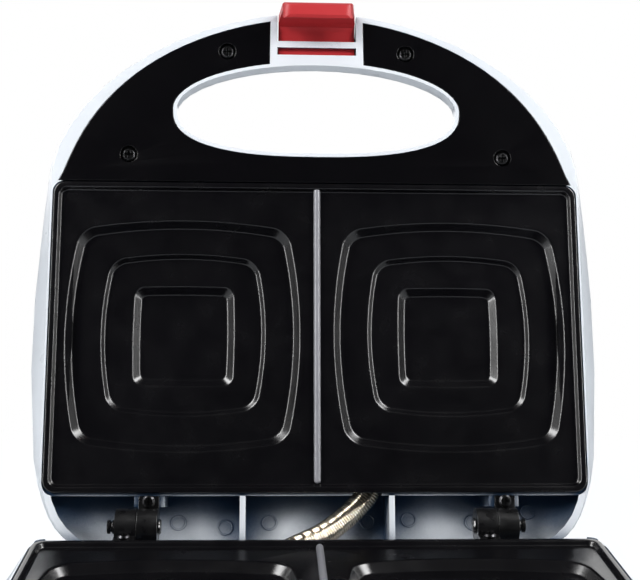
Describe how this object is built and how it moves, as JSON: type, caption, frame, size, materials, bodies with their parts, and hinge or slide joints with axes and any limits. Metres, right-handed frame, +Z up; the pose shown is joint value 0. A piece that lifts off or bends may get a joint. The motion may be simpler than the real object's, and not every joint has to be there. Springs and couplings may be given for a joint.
{
  "type": "sandwich toaster",
  "caption": "Countertop sandwich toaster standing open: hinged lid and base with stepped grill plates, looped carrying handles and a pivoting red latch clip.",
  "frame": {"origin": "on the table, under the middle of the machine's bounding box as it stands open", "axes": "+X to the right seen from the front, +Y from the carrying handle to the hinges, +Z up"},
  "size_m": [0.2352, 0.2958, 0.2534],
  "materials": {
    "white_shell": "white moulded plastic, glossy",
    "black_cover": "black moulded plastic, glossy",
    "plate_coating": "cast aluminium with a dark grey non-stick coating",
    "rod_steel": "tubular heating element, dull steel",
    "sheet_steel": "thin plated sheet steel",
    "screw_steel": "zinc plated steel",
    "sheath_steel": "wound steel wire, nickel plated",
    "hinge_metal": "die casting, black",
    "pin_metal": "steel pin, blackened",
    "foot_rubber": "black rubber",
    "gland_rubber": "black rubber",
    "ivory_plastic": "heat resistant moulding",
    "red_lens": "clear red lens",
    "green_lens": "clear green lens",
    "lamp_glass": "small neon lamp",
    "red_plastic": "red moulded plastic, satin gloss"
  },
  "bodies": {
    "base": {"base_housing": "white_shell", "bottom_cover": "white_shell", "feet": "foot_rubber", "bottom_screws": "screw_steel", "base_handle_cover": "black_cover", "base_cover_screws": "screw_steel", "base_plate": "plate_coating", "base_heater": "rod_steel", "base_reflector": "sheet_steel", "base_reflector_screws": "screw_steel", "thermostat": "sheet_steel", "thermal_fuse": "sheet_steel", "terminal_block": "ivory_plastic", "cord_gland": "gland_rubber", "base_hinge_left": "hinge_metal", "base_hinge_right": "hinge_metal", "hinge_pins": "pin_metal", "base_hinge_screws": "screw_steel", "wire_sheath": "sheath_steel", "sheath_clip_base": "sheet_steel"},
    "lid": {"lid_housing": "white_shell", "lid_handle_cover": "black_cover", "lid_cover_screws": "screw_steel", "lid_plate": "plate_coating", "lid_heater": "rod_steel", "lid_reflector": "sheet_steel", "lid_reflector_screws": "screw_steel", "lid_hinge_left": "hinge_metal", "lid_hinge_right": "hinge_metal", "lid_hinge_screws": "screw_steel", "power_lens": "red_lens", "ready_lens": "green_lens", "lamp_bulbs": "lamp_glass", "latch_pin": "screw_steel", "latch_spring": "screw_steel", "sheath_clip_lid": "sheet_steel"},
    "latch": {"latch_clip": "red_plastic"}
  },
  "joints": [
    {"name": "lid_hinge", "type": "hinge", "parent": "base", "child": "lid", "pos_m": [0, 0.06682, 0.046], "axis": [1, 0, 0], "range_deg": [0, 109], "deforming": ["wire_sheath"]},
    {"name": "latch_pivot", "type": "hinge", "parent": "lid", "child": "latch", "pos_m": [0, 0.14027, 0.23382], "axis": [-1, 0, 0], "range_deg": [0, 18], "stiffness_Nm_per_rad": 0.05, "springref_deg": -11.46}
  ]
}
